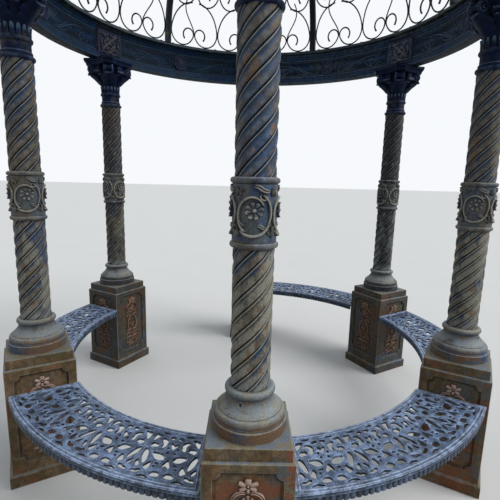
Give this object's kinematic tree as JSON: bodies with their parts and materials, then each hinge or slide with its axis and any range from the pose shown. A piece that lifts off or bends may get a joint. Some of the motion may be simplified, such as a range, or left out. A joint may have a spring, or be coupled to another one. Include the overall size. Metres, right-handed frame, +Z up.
{
  "type": "round garden bandstand",
  "caption": "Round open garden bandstand with twisted columns on square pedestals, curved pierced benches, a panelled frieze ring and an open scrollwork dome.",
  "frame": {"origin": "on the ground at the centre of the ring of columns", "axes": "+Z up, -Y towards column 1, numbers run anticlockwise seen from above, entrance between columns 4 and 5"},
  "size_m": [2.7, 2.724, 3.807],
  "materials": {
    "pedestal_iron": "weathered, rusty",
    "column_iron": "weathered paint",
    "capital_paint": "worn satin",
    "bench_paint": "worn satin",
    "frieze_paint": "worn satin",
    "dome_paint": "worn satin"
  },
  "bodies": {
    "root": {"pedestal_1": "pedestal_iron", "pedestal_2": "pedestal_iron", "pedestal_3": "pedestal_iron", "pedestal_4": "pedestal_iron", "pedestal_5": "pedestal_iron", "pedestal_6": "pedestal_iron", "column_1": "column_iron", "column_2": "column_iron", "column_3": "column_iron", "column_4": "column_iron", "column_5": "column_iron", "column_6": "column_iron", "capital_1": "capital_paint", "capital_2": "capital_paint", "capital_3": "capital_paint", "capital_4": "capital_paint", "capital_5": "capital_paint", "capital_6": "capital_paint", "bench_1": "bench_paint", "bench_2": "bench_paint", "bench_3": "bench_paint", "bench_5": "bench_paint", "bench_6": "bench_paint", "frieze_1": "frieze_paint", "frieze_2": "frieze_paint", "frieze_3": "frieze_paint", "frieze_4": "frieze_paint", "frieze_5": "frieze_paint", "frieze_6": "frieze_paint", "curb_ring": "dome_paint", "rib_1": "dome_paint", "rib_2": "dome_paint", "rib_3": "dome_paint", "rib_4": "dome_paint", "rib_5": "dome_paint", "rib_6": "dome_paint", "scroll_panel_1": "dome_paint", "scroll_panel_2": "dome_paint", "scroll_panel_3": "dome_paint", "scroll_panel_4": "dome_paint", "scroll_panel_5": "dome_paint", "scroll_panel_6": "dome_paint", "crown": "dome_paint"}
  },
  "joints": []
}
